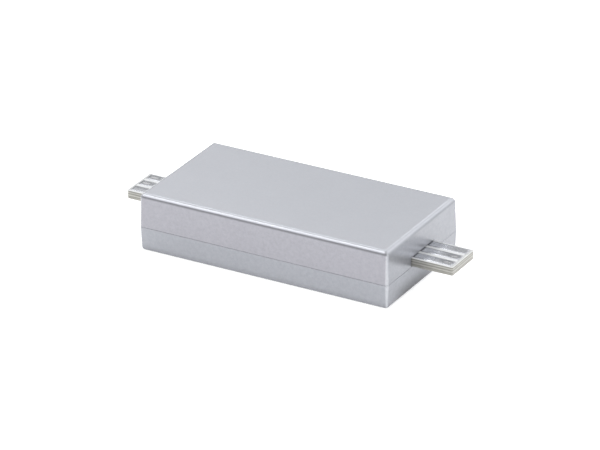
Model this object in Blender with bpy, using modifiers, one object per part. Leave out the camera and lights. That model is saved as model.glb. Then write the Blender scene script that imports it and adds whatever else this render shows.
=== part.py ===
"""Flat battery module: a rigid case in two halves, with a circuit-board tongue of three contacts at each end.

Metres, +Z up. X runs along the case, and the origin is the centre of its underside.
Inside are a lithium pouch cell, a protection board, a pass-through board and the flexible circuit that joins them.
"""

import math

import bmesh
import bpy

MM = 0.001

# Case, outside. The two halves are widest where they meet and taper away from there, as moulded halves do.
CASE_LENGTH = 48.0 * MM
CASE_WIDTH = 24.76 * MM
CASE_HEIGHT = 10.47 * MM
PARTING_Z = 4.35 * MM
PARTING_GAP = 0.06 * MM
TAPER_TOP = 0.17 * MM
TAPER_BOTTOM = 0.14 * MM
WALL = 1.20 * MM
TOP_RADIUS = 0.80 * MM
CORNER_RADIUS = 0.60 * MM
BOTTOM_RADIUS = 0.52 * MM
EDGE_SEGMENTS = 5
RIM_EXCESS = 0.40 * MM

# Lip of the lower half, which stands inside a step of the upper half.
LIP_HEIGHT = 0.90 * MM
LIP_OUTER_INSET = 0.70 * MM
LIP_THICKNESS = 0.45 * MM
LIP_CORNER = 0.60 * MM
STEP_INSET = 0.60 * MM
STEP_HEIGHT = 1.00 * MM

# Boards. Each has a wide inner part and a tongue that leaves the case through a slot in its end wall.
BOARD_THICKNESS = 1.60 * MM
BOARD_Z = 4.38 * MM
BOARD_INNER_X = 16.20 * MM
BOARD_SHOULDER_X = 22.60 * MM
BOARD_HALF_WIDTH = 6.90 * MM
TONGUE_HALF_WIDTH = 3.81 * MM
TONGUE_TIP_X = 31.60 * MM
TONGUE_CORNER = 0.30 * MM
SLOT_SIDE_GAP = 0.25 * MM
SLOT_TOP_GAP = 0.06 * MM

# Contact pads: three at the standard 2.54 mm pitch, each lying in a shallow pocket of the board's upper face.
PAD_PITCH = 2.54 * MM
PAD_WIDTH = 1.80 * MM
PAD_THICKNESS = 0.08 * MM
PAD_FROM_X = 21.60 * MM
PAD_TO_X = 31.15 * MM
PAD_SIDE_GAP = 0.03 * MM
PAD_POCKET = 0.12 * MM
SKIN_GAP = 0.02 * MM

# Screws and their bosses, and the posts that place the boards.
SCREW_X, SCREW_Y = 20.20 * MM, 8.80 * MM
SCREW_SHANK = 0.80 * MM
SCREW_HEAD = 1.50 * MM
SCREW_HEAD_HEIGHT = 1.00 * MM
SCREW_LENGTH = 6.00 * MM
SCREW_SEAT_Z = 1.70 * MM
COUNTERBORE = 1.70 * MM
LOWER_BOSS = 2.20 * MM
UPPER_BOSS = 1.70 * MM
POST_X, POST_Y = 20.30 * MM, 5.60 * MM
POST_SHOULDER = 1.20 * MM
POST_PIN = 0.60 * MM
POST_HOLE = 0.68 * MM

# Pouch cell, lying flat: two formed films sealed at mid height, with the tabs leaving at +X.
FILM = 0.15 * MM
SEAL_Z = 5.00 * MM
SEAL_GAP = 0.05 * MM
CELL_TOP_Z = 8.50 * MM
CELL_BOTTOM_Z = 1.50 * MM
CELL_BACK_X = -15.50 * MM
CELL_FRONT_X = 11.50 * MM
SEAL_FRONT_X = 14.50 * MM
CELL_HALF_WIDTH = 9.50 * MM
SEAL_HALF_WIDTH = 10.00 * MM
FORM_DRAFT = 0.35 * MM
FORM_RADIUS = 0.90 * MM
TAB_Y = 4.20 * MM
TAB_WIDTH = 3.00 * MM
TAB_THICKNESS = 0.10 * MM
SLEEVE_WIDTH = 4.00 * MM
SLEEVE_THICKNESS = 0.30 * MM
SEAL_BUMP = 0.15 * MM

FLEX_THICKNESS = 0.20 * MM
FLEX_WIDTH = 7.00 * MM
FLEX_Z = 1.35 * MM


def collection(name):
    made = bpy.data.collections.new(name)
    bpy.context.scene.collection.children.link(made)
    return made


def material(name, colour, metallic, roughness):
    """A Principled BSDF with one colour, a metallic value and a roughness."""
    made = bpy.data.materials.new(name)
    made.use_nodes = True
    shader = made.node_tree.nodes["Principled BSDF"]
    shader.inputs["Base Color"].default_value = (*colour, 1.0)
    shader.inputs["Metallic"].default_value = metallic
    shader.inputs["Roughness"].default_value = roughness
    made.diffuse_color = (*colour, 1.0)
    return made


for old in list(bpy.data.objects):
    bpy.data.objects.remove(old, do_unlink=True)

PARTS = collection("battery_module")
CUTTERS = collection("battery_module_cutters")
CUTTERS.hide_render = True

SILVER_PAINT = material("silver_paint", (0.56, 0.58, 0.62), 0.55, 0.42)
WHITE_MASK = material("white_solder_mask", (0.86, 0.87, 0.84), 0.0, 0.40)
TINNED_COPPER = material("tinned_copper", (0.55, 0.56, 0.58), 1.0, 0.30)
POUCH_FILM = material("pouch_film", (0.66, 0.67, 0.68), 0.85, 0.38)
ELECTRODE = material("electrode_roll", (0.16, 0.15, 0.14), 0.1, 0.80)
ALUMINIUM_TAB = material("aluminium_tab", (0.78, 0.79, 0.80), 1.0, 0.35)
NICKEL_TAB = material("nickel_tab", (0.62, 0.60, 0.56), 1.0, 0.30)
SEAL_SLEEVE = material("tab_sealant", (0.10, 0.10, 0.11), 0.0, 0.55)
AMBER_TAPE = material("amber_tape", (0.62, 0.33, 0.06), 0.0, 0.25)
BLACK_MOULD = material("black_mould_compound", (0.03, 0.03, 0.03), 0.0, 0.55)
CHIP_TAN = material("chip_capacitor_tan", (0.44, 0.30, 0.18), 0.0, 0.45)
CHIP_BLACK = material("chip_resistor_black", (0.05, 0.05, 0.06), 0.0, 0.40)
FLEX_AMBER = material("flexible_circuit", (0.55, 0.25, 0.05), 0.0, 0.30)
TAPE_WHITE = material("double_sided_tape", (0.85, 0.84, 0.78), 0.0, 0.70)
FOAM = material("foam", (0.12, 0.12, 0.13), 0.0, 0.95)
SCREW_STEEL = material("screw_steel", (0.50, 0.50, 0.52), 1.0, 0.28)


def as_object(name, data, finish, group, location=(0.0, 0.0, 0.0)):
    made = bpy.data.objects.new(name, data)
    group.objects.link(made)
    made.location = location
    if finish is not None:
        data.materials.append(finish)
    if group is CUTTERS:
        made.hide_render = True
        made.display_type = "WIRE"
    return made


def mesh_from(name, bm, smooth=False):
    bmesh.ops.recalc_face_normals(bm, faces=bm.faces)
    mesh = bpy.data.meshes.new(name)
    bm.to_mesh(mesh)
    bm.free()
    if smooth:
        mesh.shade_smooth()
        mesh.set_sharp_from_angle(angle=math.radians(35))
    return mesh


def cube(size, top_size=None):
    """A cube primitive of this size centred on the origin. top_size gives its upper face other X and Y sizes."""
    bm = bmesh.new()
    bmesh.ops.create_cube(bm, size=1.0)
    for v in bm.verts:
        sx, sy = (top_size or size)[:2] if v.co.z > 0 else size[:2]
        v.co = (v.co.x * sx, v.co.y * sy, v.co.z * size[2])
    return bm


def block(name, low, high, finish=None, group=None, bevel=0.0, segments=2):
    """A box between two corners, its edges rounded by a Bevel modifier where bevel isn't 0."""
    size = [b - a for a, b in zip(low, high)]
    centre = [(a + b) / 2 for a, b in zip(low, high)]
    made = as_object(name, mesh_from(name, cube(size)), finish, group or PARTS, centre)
    if bevel:
        rounding = made.modifiers.new("rounding", "BEVEL")
        rounding.width = bevel
        rounding.segments = segments
        rounding.limit_method = "NONE"
        rounding.use_clamp_overlap = True
    return made


def cylinder(name, x, y, z0, z1, radius, group=None, sides=24, finish=None):
    bm = bmesh.new()
    bmesh.ops.create_cone(
        bm,
        cap_ends=True,
        segments=sides,
        radius1=radius,
        radius2=radius,
        depth=z1 - z0,
    )
    mesh = mesh_from(name, bm, smooth=True)
    return as_object(name, mesh, finish, group or CUTTERS, (x, y, (z0 + z1) / 2))


def boolean(target, tool, operation="DIFFERENCE"):
    step = target.modifiers.new(f"{operation.lower()}_{tool.name}", "BOOLEAN")
    step.operation = operation
    step.solver = "EXACT"
    step.object = tool


def add(target, tool):
    boolean(target, tool, "UNION")


def fillet_path(points, radius, steps=4, closed=True):
    """The points with each corner replaced by an arc. radius is one value, or one for each corner."""
    count = len(points)
    radii = radius if isinstance(radius, (list, tuple)) else [radius] * count
    made = []
    for i, (x, y) in enumerate(points):
        if (not closed and i in (0, count - 1)) or radii[i] <= 0:
            made.append((x, y))
            continue
        ax, ay = points[i - 1]
        bx, by = points[(i + 1) % count]
        to_a, to_b = math.hypot(ax - x, ay - y), math.hypot(bx - x, by - y)
        ua, ub = ((ax - x) / to_a, (ay - y) / to_a), ((bx - x) / to_b, (by - y) / to_b)
        half = math.acos(max(-1.0, min(1.0, ua[0] * ub[0] + ua[1] * ub[1]))) / 2
        reach = radii[i] / math.tan(half)
        out = radii[i] / math.sin(half)
        mid = (ua[0] + ub[0], ua[1] + ub[1])
        length = math.hypot(*mid)
        cx, cy = x + mid[0] / length * out, y + mid[1] / length * out
        start = math.atan2(y + ua[1] * reach - cy, x + ua[0] * reach - cx)
        end = math.atan2(y + ub[1] * reach - cy, x + ub[0] * reach - cx)
        turn = (end - start + math.pi) % (2 * math.pi) - math.pi
        for k in range(steps + 1):
            angle = start + turn * k / steps
            made.append(
                (cx + radii[i] * math.cos(angle), cy + radii[i] * math.sin(angle))
            )
    return made


def ribbon(path, thickness, radius, steps=3):
    """The closed outline of a strip of this thickness along an open path with rounded bends."""
    line = fillet_path(path, radius, steps, closed=False)
    sides = ([], [])
    for i, (x, y) in enumerate(line):
        before, after = line[max(i - 1, 0)], line[min(i + 1, len(line) - 1)]
        dx, dy = after[0] - before[0], after[1] - before[1]
        length = math.hypot(dx, dy)
        nx, ny = -dy / length * thickness / 2, dx / length * thickness / 2
        sides[0].append((x + nx, y + ny))
        sides[1].append((x - nx, y - ny))
    return sides[0] + sides[1][::-1]


def circle(x, y, radius, sides=20):
    return [
        (
            x + radius * math.cos(2 * math.pi * k / sides),
            y + radius * math.sin(2 * math.pi * k / sides),
        )
        for k in range(sides)
    ]


def flat_outline(name, loops, thickness):
    """Curve data: closed outlines filled on both faces and extruded to a thickness. A loop inside another is a hole."""
    data = bpy.data.curves.new(name, "CURVE")
    data.dimensions = "2D"
    data.fill_mode = "BOTH"
    data.extrude = thickness / 2
    for loop in loops:
        spline = data.splines.new("POLY")
        spline.points.add(len(loop) - 1)
        for point, (x, y) in zip(spline.points, loop):
            point.co = (x, y, 0.0, 1.0)
        spline.use_cyclic_u = True
    return data


def side_strip(name, path, thickness, width, y, radius, finish):
    """A strip whose side view is path, as X and Z, with its width along Y."""
    data = flat_outline(name, [ribbon(path, thickness, radius)], width)
    made = as_object(name, data, finish, PARTS, (0.0, y, 0.0))
    made.rotation_euler = (math.pi / 2, 0.0, 0.0)
    return made


# ---------------------------------------------------------------- case


def half_size(z, upper):
    """Half length and half width of one half's outside at this height."""
    if upper:
        inset = TAPER_TOP * (z - PARTING_Z) / (CASE_HEIGHT - PARTING_Z)
    else:
        inset = TAPER_BOTTOM * (PARTING_Z - z) / PARTING_Z
    return CASE_LENGTH / 2 - inset, CASE_WIDTH / 2 - inset


def shell(name, z_open, z_closed, closed_radius):
    """An open box surface made thick with Solidify, with its outer and inner edges rounded by Bevel."""
    low, high = min(z_open, z_closed), max(z_open, z_closed)
    lower, upper = (half_size(z, z_closed > z_open) for z in (low, high))
    bm = cube(
        (2 * lower[0], 2 * lower[1], high - low),
        (2 * upper[0], 2 * upper[1]),
    )
    opening = z_open - (low + high) / 2
    bmesh.ops.delete(
        bm,
        geom=[
            f for f in bm.faces if abs(f.calc_center_median().z - opening) < 1e-6
        ],
        context="FACES_ONLY",
    )
    weight = bm.edges.layers.float.new("bevel_weight_edge")
    for e in bm.edges:
        a, b = (v.co.z for v in e.verts)
        if abs(a - b) > 1e-6:
            e[weight] = CORNER_RADIUS / TOP_RADIUS
        elif abs(a - opening) > 1e-6:
            e[weight] = closed_radius / TOP_RADIUS
    made = as_object(
        name,
        mesh_from(name, bm, smooth=True),
        SILVER_PAINT,
        PARTS,
        (0.0, 0.0, (low + high) / 2),
    )
    thick = made.modifiers.new("wall", "SOLIDIFY")
    thick.thickness = WALL
    thick.offset = -1.0
    thick.use_even_offset = True
    thick.use_rim = True
    rounding = made.modifiers.new("rounding", "BEVEL")
    rounding.limit_method = "WEIGHT"
    rounding.width = TOP_RADIUS
    rounding.segments = EDGE_SEGMENTS
    return made


# Each half is made a little too deep, and its rim is then trimmed flat.
upper_shell = shell("upper_shell", PARTING_Z - RIM_EXCESS, CASE_HEIGHT, TOP_RADIUS)
lower_shell = shell("lower_shell", PARTING_Z + RIM_EXCESS, 0.0, BOTTOM_RADIUS)
for target, z0, z1 in (
    (upper_shell, PARTING_Z - 3.0 * MM, PARTING_Z + PARTING_GAP / 2),
    (lower_shell, PARTING_Z - PARTING_GAP / 2, PARTING_Z + 3.0 * MM),
):
    boolean(
        target,
        block(
            f"{target.name}_rim_trim",
            (-30.0 * MM, -20.0 * MM, z0),
            (30.0 * MM, 20.0 * MM, z1),
            group=CUTTERS,
        ),
    )

FLOOR_Z = WALL
ROOF_Z = CASE_HEIGHT - WALL
HALF_L, HALF_W = CASE_LENGTH / 2, CASE_WIDTH / 2

# The step inside the upper half's rim, which receives the lower half's lip.
boolean(
    upper_shell,
    block(
        "rim_step_cutter",
        (-HALF_L + STEP_INSET, -HALF_W + STEP_INSET, PARTING_Z - 1.0 * MM),
        (
            HALF_L - STEP_INSET,
            HALF_W - STEP_INSET,
            PARTING_Z + PARTING_GAP / 2 + STEP_HEIGHT,
        ),
        group=CUTTERS,
    ),
)

# The lip: a ring of four walls that stands up from the lower half's rim, open at the tongues.
ring = bmesh.new()
bmesh.ops.create_cube(ring, size=1.0)
bmesh.ops.delete(
    ring,
    geom=[f for f in ring.faces if abs(f.normal.z) > 0.5],
    context="FACES_ONLY",
)
RING_LOW, RING_HIGH = PARTING_Z - 0.60 * MM, PARTING_Z - PARTING_GAP / 2 + LIP_HEIGHT
for v in ring.verts:
    v.co = (
        v.co.x * 2 * (HALF_L - LIP_OUTER_INSET),
        v.co.y * 2 * (HALF_W - LIP_OUTER_INSET),
        v.co.z * (RING_HIGH - RING_LOW),
    )
ring_weight = ring.edges.layers.float.new("bevel_weight_edge")
for e in ring.edges:
    if abs(e.verts[0].co.z - e.verts[1].co.z) > 1e-6:
        e[ring_weight] = 1.0
lip_ring = as_object(
    "lip_ring",
    mesh_from("lip_ring", ring),
    None,
    CUTTERS,
    (0.0, 0.0, (RING_LOW + RING_HIGH) / 2),
)
lip_corners = lip_ring.modifiers.new("corners", "BEVEL")
lip_corners.limit_method = "WEIGHT"
lip_corners.width = LIP_CORNER
lip_corners.segments = 3
lip_wall = lip_ring.modifiers.new("wall", "SOLIDIFY")
lip_wall.thickness = LIP_THICKNESS
lip_wall.offset = -1.0
lip_wall.use_even_offset = True
boolean(
    lip_ring,
    block(
        "lip_gap_cutter",
        (-30.0 * MM, -TONGUE_HALF_WIDTH - 0.45 * MM, PARTING_Z - 0.35 * MM),
        (30.0 * MM, TONGUE_HALF_WIDTH + 0.45 * MM, PARTING_Z + 3.0 * MM),
        group=CUTTERS,
    ),
)
add(lower_shell, lip_ring)

for end, sx in (("left", -1), ("right", 1)):
    # The slot that the tongue leaves through is open at the upper half's rim.
    boolean(
        upper_shell,
        block(
            f"{end}_slot_cutter",
            (
                min(sx * 21.0 * MM, sx * 27.0 * MM),
                -TONGUE_HALF_WIDTH - SLOT_SIDE_GAP,
                PARTING_Z - 1.0 * MM,
            ),
            (
                max(sx * 21.0 * MM, sx * 27.0 * MM),
                TONGUE_HALF_WIDTH + SLOT_SIDE_GAP,
                BOARD_Z + BOARD_THICKNESS + SLOT_TOP_GAP,
            ),
            group=CUTTERS,
        ),
    )
    for side, sy in (("front", -1), ("back", 1)):
        where = f"{side}_{end}"
        x, y = sx * SCREW_X, sy * SCREW_Y
        # Screw bosses, each tied to the side wall by a rib.
        add(
            lower_shell,
            cylinder(
                f"{where}_lower_boss",
                x,
                y,
                FLOOR_Z - 0.5 * MM,
                PARTING_Z - PARTING_GAP / 2 - 0.05 * MM,
                LOWER_BOSS,
            ),
        )
        add(
            upper_shell,
            cylinder(
                f"{where}_upper_boss",
                x,
                y,
                PARTING_Z + 0.10 * MM,
                ROOF_Z + 0.5 * MM,
                UPPER_BOSS,
            ),
        )
        for target, z0, z1 in (
            (lower_shell, FLOOR_Z - 0.4 * MM, PARTING_Z - 0.30 * MM),
            (upper_shell, PARTING_Z + 1.30 * MM, ROOF_Z + 0.4 * MM),
        ):
            add(
                target,
                block(
                    f"{where}_{target.name}_boss_rib",
                    (x - 0.45 * MM, min(y, sy * (HALF_W - 0.75 * MM)), z0),
                    (x + 0.45 * MM, max(y, sy * (HALF_W - 0.75 * MM)), z1),
                    group=CUTTERS,
                ),
            )
        boolean(
            lower_shell,
            cylinder(f"{where}_screw_seat", x, y, -1.0 * MM, SCREW_SEAT_Z, COUNTERBORE, sides=32),
        )
        boolean(
            lower_shell,
            cylinder(f"{where}_screw_hole", x, y, 0.5 * MM, 5.0 * MM, 0.95 * MM),
        )
        boolean(
            upper_shell,
            cylinder(f"{where}_screw_pilot", x, y, 4.0 * MM, 8.3 * MM, 0.88 * MM),
        )
        # Posts that place the board: a shoulder under it, a pin through it and a socket over it.
        px, py = sx * POST_X, sy * POST_Y
        add(
            lower_shell,
            cylinder(
                f"{where}_post_shoulder",
                px,
                py,
                FLOOR_Z - 0.5 * MM,
                BOARD_Z - 0.05 * MM,
                POST_SHOULDER,
                sides=20,
            ),
        )
        add(
            lower_shell,
            cylinder(
                f"{where}_post_pin",
                px,
                py,
                BOARD_Z - 1.0 * MM,
                BOARD_Z + BOARD_THICKNESS + 0.35 * MM,
                POST_PIN,
                sides=16,
            ),
        )
        add(
            upper_shell,
            cylinder(
                f"{where}_post_socket",
                px,
                py,
                BOARD_Z + BOARD_THICKNESS + 0.06 * MM,
                ROOF_Z + 0.5 * MM,
                POST_SHOULDER,
                sides=20,
            ),
        )
        boolean(
            upper_shell,
            cylinder(
                f"{where}_socket_bore",
                px,
                py,
                BOARD_Z + 0.5 * MM,
                BOARD_Z + BOARD_THICKNESS + 0.80 * MM,
                POST_HOLE + 0.04 * MM,
                sides=16,
            ),
        )

# Ribs on the floor and the side walls that hold the cell in place.
for side, sy in (("front", -1), ("back", 1)):
    for name, x0, x1, y0, y1, top in (
        ("tail_rib", -16.35, -15.75, 4.6, 9.0, 3.6),
        ("nose_rib", 11.75, 12.35, 4.6, 9.0, 4.0),
    ):
        add(
            lower_shell,
            block(
                f"{side}_{name}",
                (x0 * MM, min(sy * y0, sy * y1) * MM, FLOOR_Z - 0.4 * MM),
                (x1 * MM, max(sy * y0, sy * y1) * MM, top * MM),
                group=CUTTERS,
            ),
        )
    for k, x in enumerate((-10.0, -1.0, 8.0)):
        y0, y1 = sy * 9.75 * MM, sy * (HALF_W - 0.75 * MM)
        add(
            lower_shell,
            block(
                f"{side}_side_rib_{k + 1}",
                ((x - 0.4) * MM, min(y0, y1), FLOOR_Z - 0.3 * MM),
                ((x + 0.4) * MM, max(y0, y1), 3.9 * MM),
                group=CUTTERS,
            ),
        )

# ---------------------------------------------------------------- boards and contacts

corners = [
    (BOARD_INNER_X, -BOARD_HALF_WIDTH),
    (BOARD_SHOULDER_X, -BOARD_HALF_WIDTH),
    (BOARD_SHOULDER_X, -TONGUE_HALF_WIDTH),
    (TONGUE_TIP_X, -TONGUE_HALF_WIDTH),
]
corner_radii = [0.30 * MM, 0.30 * MM, 0.0, TONGUE_CORNER]
outline = corners + [(x, -y) for x, y in reversed(corners)]
board_path = fillet_path(outline, corner_radii + corner_radii[::-1], steps=5)
pad_data = flat_outline(
    "pad",
    [
        fillet_path(
            [
                (PAD_FROM_X, -PAD_WIDTH / 2),
                (PAD_TO_X, -PAD_WIDTH / 2),
                (PAD_TO_X, PAD_WIDTH / 2),
                (PAD_FROM_X, PAD_WIDTH / 2),
            ],
            0.10 * MM,
            steps=3,
        )
    ],
    PAD_THICKNESS,
)
pad_data.materials.append(TINNED_COPPER)
for end, turn in (("left", math.pi), ("right", 0.0)):
    sx = round(math.cos(turn))
    bm = bmesh.new()
    levels = [
        [bm.verts.new((sx * x, sx * y, z)) for x, y in board_path]
        for z in (BOARD_Z, BOARD_Z + BOARD_THICKNESS)
    ]
    for i in range(len(board_path)):
        bm.faces.new((levels[0][i - 1], levels[0][i], levels[1][i], levels[1][i - 1]))
    bm.faces.new(levels[0][::-1])
    bm.faces.new(levels[1])
    board = as_object(f"{end}_board", mesh_from(f"{end}_board", bm), WHITE_MASK, PARTS)
    for side, sy in (("front", -1), ("back", 1)):
        boolean(
            board,
            cylinder(
                f"{end}_{side}_post_hole",
                sx * POST_X,
                sy * POST_Y,
                BOARD_Z - 1.0 * MM,
                BOARD_Z + BOARD_THICKNESS + 1.0 * MM,
                POST_HOLE,
                sides=20,
            ),
        )
    for k, role in enumerate(("negative", "signal", "positive")):
        boolean(
            board,
            block(
                f"{end}_{role}_pocket",
                (
                    min(sx * (PAD_FROM_X - PAD_SIDE_GAP), sx * (PAD_TO_X + PAD_SIDE_GAP)),
                    (k - 1) * PAD_PITCH - PAD_WIDTH / 2 - PAD_SIDE_GAP,
                    BOARD_Z + BOARD_THICKNESS - PAD_POCKET,
                ),
                (
                    max(sx * (PAD_FROM_X - PAD_SIDE_GAP), sx * (PAD_TO_X + PAD_SIDE_GAP)),
                    (k - 1) * PAD_PITCH + PAD_WIDTH / 2 + PAD_SIDE_GAP,
                    BOARD_Z + BOARD_THICKNESS + 1.0 * MM,
                ),
                group=CUTTERS,
            ),
        )
        pad = as_object(
            f"{end}_{role}_contact",
            pad_data,
            None,
            PARTS,
            (
                0.0,
                (k - 1) * PAD_PITCH,
                BOARD_Z + BOARD_THICKNESS - PAD_POCKET + SKIN_GAP + PAD_THICKNESS / 2,
            ),
        )
        pad.rotation_euler = (0.0, 0.0, turn)

# ---------------------------------------------------------------- components on the boards

CHIP_Z = BOARD_Z + BOARD_THICKNESS + SKIN_GAP


def chip(name, x, y, length, width, height, finish, along_x=True):
    """A two-terminal chip: a body with an end cap, slightly proud, at each end."""
    body = block(
        name,
        (-length / 2, -width / 2, 0.0),
        (length / 2, width / 2, height),
        finish,
    )
    body.location = (x, y, CHIP_Z + height / 2 + 0.01 * MM)
    for k, sign in enumerate((-1, 1)):
        cap = block(
            f"{name}_cap_{k + 1}",
            (-0.15 * length, -width / 2 - 0.01 * MM, -0.01 * MM),
            (0.15 * length, width / 2 + 0.01 * MM, height + 0.01 * MM),
            group=CUTTERS,
        )
        offset = sign * (0.37 * length)
        cap.location = (
            x + (offset if along_x else 0.0),
            y + (0.0 if along_x else offset),
            CHIP_Z + height / 2 + 0.01 * MM,
        )
        if not along_x:
            cap.rotation_euler = (0.0, 0.0, math.pi / 2)
        add(body, cap)
    if not along_x:
        body.rotation_euler = (0.0, 0.0, math.pi / 2)
    return body


def leaded_package(name, x, y, leads, pitch):
    """A small moulded package with gull-wing leads on its two long sides, which face along X."""
    body = block(
        name,
        (-0.80 * MM, -1.45 * MM, 0.0),
        (0.80 * MM, 1.45 * MM, 1.00 * MM),
        BLACK_MOULD,
        bevel=0.08 * MM,
        segments=1,
    )
    body.location = (x, y, CHIP_Z + 0.08 * MM + 0.50 * MM)
    for sign in (-1, 1):
        for k in range(leads):
            step = (k - (leads - 1) / 2) * pitch
            data = flat_outline(
                f"{name}_lead",
                [
                    ribbon(
                        [
                            (0.55 * MM, 0.50 * MM),
                            (1.00 * MM, 0.50 * MM),
                            (1.10 * MM, 0.08 * MM),
                            (1.40 * MM, 0.08 * MM),
                        ],
                        0.14 * MM,
                        0.0,
                    )
                ],
                0.40 * MM,
            )
            drawn = as_object(f"{name}_lead_curve", data, None, CUTTERS)
            drawn.location = (x, y + step, CHIP_Z)
            drawn.rotation_euler = (math.pi / 2, 0.0, 0.0 if sign > 0 else math.pi)
            bpy.context.view_layer.update()
            graph = bpy.context.evaluated_depsgraph_get()
            mesh = bpy.data.meshes.new_from_object(drawn.evaluated_get(graph))
            welded = bmesh.new()
            welded.from_mesh(mesh)
            bmesh.ops.remove_doubles(welded, verts=welded.verts, dist=1e-6)
            bmesh.ops.recalc_face_normals(welded, faces=welded.faces)
            welded.to_mesh(mesh)
            welded.free()
            lead = as_object(
                f"{name}_lead_{'ab'[sign > 0]}{k + 1}", mesh, None, CUTTERS
            )
            lead.matrix_world = drawn.matrix_world
            bpy.data.objects.remove(drawn, do_unlink=True)
            add(body, lead)
    return body


leaded_package("protection_ic", 19.90 * MM, 1.90 * MM, 3, 0.95 * MM)
leaded_package("dual_mosfet", 19.90 * MM, -1.90 * MM, 3, 0.95 * MM)
chip("thermistor", 17.40 * MM, 1.30 * MM, 1.6 * MM, 0.8 * MM, 0.60 * MM, CHIP_BLACK)
chip("sense_resistor", 17.40 * MM, 0.0, 1.6 * MM, 0.8 * MM, 0.45 * MM, CHIP_BLACK)
chip("filter_capacitor", 17.40 * MM, -1.30 * MM, 1.6 * MM, 0.8 * MM, 0.75 * MM, CHIP_TAN)
chip("fuse", 22.02 * MM, 5.20 * MM, 1.6 * MM, 0.8 * MM, 0.55 * MM, CHIP_TAN, along_x=False)
chip("surge_suppressor", -19.90 * MM, 1.90 * MM, 2.5 * MM, 1.3 * MM, 1.00 * MM, BLACK_MOULD)
chip("bus_capacitor", -19.90 * MM, -1.90 * MM, 2.0 * MM, 1.25 * MM, 0.90 * MM, CHIP_TAN)
chip("identity_resistor", -17.40 * MM, 0.0, 1.6 * MM, 0.8 * MM, 0.45 * MM, CHIP_BLACK)

# ---------------------------------------------------------------- pouch cell


def pouch_film(name, up):
    """A formed film: a flat seal border with one drawn pocket, raised a little where the tabs pass under it."""
    bump_in, bump_out = 2.10 * MM, 1.80 * MM
    rows = sorted(
        sign * y
        for y in (
            bump_out,
            bump_in,
            2 * TAB_Y - bump_in,
            2 * TAB_Y - bump_out,
            CELL_HALF_WIDTH,
            SEAL_HALF_WIDTH,
        )
        for sign in (-1, 1)
    )
    columns = [
        CELL_BACK_X - 0.4 * MM,
        CELL_BACK_X,
        CELL_FRONT_X,
        SEAL_FRONT_X,
    ]
    bm = bmesh.new()
    bmesh.ops.create_grid(
        bm, x_segments=len(columns) - 1, y_segments=len(rows) - 1, size=1.0
    )
    for v in bm.verts:
        column = round((v.co.x + 1) / 2 * (len(columns) - 1))
        row = round((v.co.y + 1) / 2 * (len(rows) - 1))
        raised = (
            column >= 2 and bump_in - 1e-6 <= abs(rows[row]) <= 2 * TAB_Y - bump_in + 1e-6
        )
        v.co = (columns[column], rows[row], SEAL_BUMP if raised else 0.0)
    pocket = [
        f
        for f in bm.faces
        if CELL_BACK_X < f.calc_center_median().x < CELL_FRONT_X
        and abs(f.calc_center_median().y) < CELL_HALF_WIDTH
    ]
    drawn = bmesh.ops.extrude_face_region(bm, geom=pocket)
    depth = CELL_TOP_Z - SEAL_Z - SEAL_GAP / 2 - FILM
    middle = (CELL_BACK_X + CELL_FRONT_X) / 2
    roof = [g for g in drawn["geom"] if isinstance(g, bmesh.types.BMVert)]
    for v in roof:
        inset_x = math.copysign(FORM_DRAFT, v.co.x - middle)
        edge = abs(abs(v.co.y) - CELL_HALF_WIDTH) < 1e-6
        v.co.x -= inset_x
        v.co.y -= math.copysign(FORM_DRAFT, v.co.y) if edge else 0.0
        v.co.z = depth
    bmesh.ops.delete(bm, geom=[f for f in pocket if f.is_valid], context="FACES_ONLY")
    bm.edges.ensure_lookup_table()
    weight = bm.edges.layers.float.new("bevel_weight_edge")
    for e in bm.edges:
        a, b = e.verts
        top = abs(a.co.z - depth) < 1e-6, abs(b.co.z - depth) < 1e-6
        if all(top) and len(e.link_faces) == 2:
            if any(f.calc_center_median().z < depth * 0.9 for f in e.link_faces):
                e[weight] = 1.0
        elif any(top):
            pair = [f.normal for f in e.link_faces]
            if len(pair) == 2 and abs(pair[0].dot(pair[1])) < 0.5:
                e[weight] = 1.0
    if not up:
        for v in bm.verts:
            v.co.z = -v.co.z
    mesh = mesh_from(name, bm, smooth=True)
    z = SEAL_Z + (SEAL_GAP / 2 if up else -SEAL_GAP / 2)
    made = as_object(name, mesh, POUCH_FILM, PARTS, (0.0, 0.0, z))
    rounding = made.modifiers.new("rounding", "BEVEL")
    rounding.limit_method = "WEIGHT"
    rounding.width = FORM_RADIUS
    rounding.segments = 3
    thick = made.modifiers.new("film", "SOLIDIFY")
    thick.thickness = FILM
    thick.use_even_offset = True
    # The film's thickness goes away from the seal plane, whichever way its surface faces.
    normal_up = sum(p.normal.z * p.area for p in mesh.polygons) > 0
    thick.offset = 1.0 if normal_up == up else -1.0
    return made


pouch_film("pouch_upper_film", True)
pouch_film("pouch_lower_film", False)

roll_mesh = cube((25.60 * MM, 17.70 * MM, 6.30 * MM))
weight_layer = roll_mesh.edges.layers.float.new("bevel_weight_edge")
for e in roll_mesh.edges:
    if abs(e.verts[0].co.x - e.verts[1].co.x) > 1e-6:
        e[weight_layer] = 1.0
electrode_roll = as_object(
    "electrode_roll",
    mesh_from("electrode_roll", roll_mesh, smooth=True),
    ELECTRODE,
    PARTS,
    ((CELL_BACK_X + CELL_FRONT_X) / 2, 0.0, SEAL_Z),
)
roll_rounding = electrode_roll.modifiers.new("wound_edges", "BEVEL")
roll_rounding.limit_method = "WEIGHT"
roll_rounding.width = 2.60 * MM
roll_rounding.segments = 6

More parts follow.
